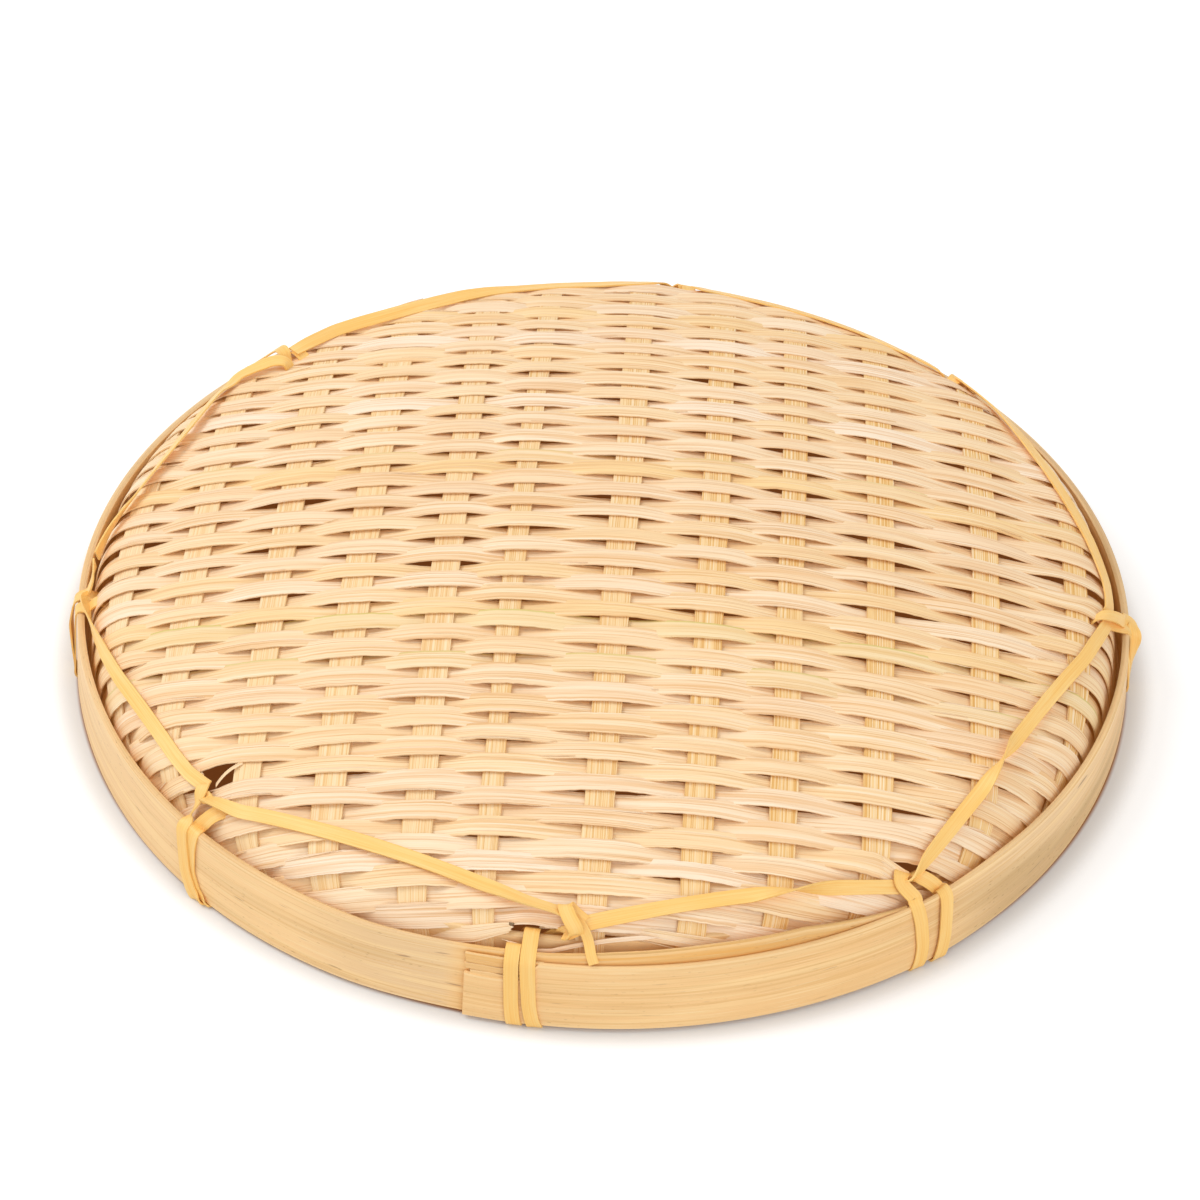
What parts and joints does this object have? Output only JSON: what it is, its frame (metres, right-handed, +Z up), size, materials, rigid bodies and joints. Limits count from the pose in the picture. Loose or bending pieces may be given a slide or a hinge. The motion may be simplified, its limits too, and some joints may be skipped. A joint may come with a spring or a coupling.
{
  "type": "woven tray",
  "caption": "Round shallow tray of plain-woven bamboo strips, domed and clamped between two bent hoops that a flat strand lashes together. Lies mouth down.",
  "frame": {"origin": "Centre of the hoops, on the plane that the undersides of the rim's ties rest on, with the mouth facing down", "axes": "+Z up from the mouth to the crown of the woven dome; +Y to the back along the hoops' diameter, with the hoop's lap at the front (-Y); +X to the right"},
  "size_m": [0.301, 0.3008, 0.0517],
  "materials": {
    "hoop": "split bamboo, satin skin with small brown specks",
    "stake": "split bamboo with fine lengthwise fibres",
    "weft": "split bamboo, pale, fibrous",
    "lashing": "thin flat golden-yellow strip, satin"
  },
  "bodies": {
    "root": {"outer_hoop": "hoop", "inner_hoop": "hoop", "stake_01": "stake", "stake_02": "stake", "stake_03": "stake", "stake_04": "stake", "stake_05": "stake", "stake_06": "stake", "stake_07": "stake", "stake_08": "stake", "stake_09": "stake", "stake_10": "stake", "stake_11": "stake", "stake_12": "stake", "weft_pair_01": "weft", "weft_pair_02": "weft", "weft_pair_03": "weft", "weft_pair_04": "weft", "weft_pair_05": "weft", "weft_pair_06": "weft", "weft_pair_07": "weft", "weft_pair_08": "weft", "weft_pair_09": "weft", "weft_pair_10": "weft", "weft_pair_11": "weft", "weft_pair_12": "weft", "weft_pair_13": "weft", "weft_pair_14": "weft", "weft_pair_15": "weft", "weft_pair_16": "weft", "weft_pair_17": "weft", "weft_pair_18": "weft", "weft_pair_19": "weft", "weft_pair_20": "weft", "weft_pair_21": "weft", "weft_pair_22": "weft", "weft_pair_23": "weft", "weft_pair_24": "weft", "weft_pair_25": "weft", "weft_pair_26": "weft", "weft_pair_27": "weft", "weft_pair_28": "weft", "weft_pair_29": "weft", "weft_pair_30": "weft", "weft_pair_31": "weft", "weft_pair_32": "weft", "lashing_span_1": "lashing", "lashing_span_2": "lashing", "lashing_span_3": "lashing", "lashing_span_4": "lashing", "lashing_span_5": "lashing", "lashing_span_6": "lashing", "lashing_span_7": "lashing", "lashing_span_8": "lashing", "lashing_knot": "lashing"}
  },
  "joints": []
}
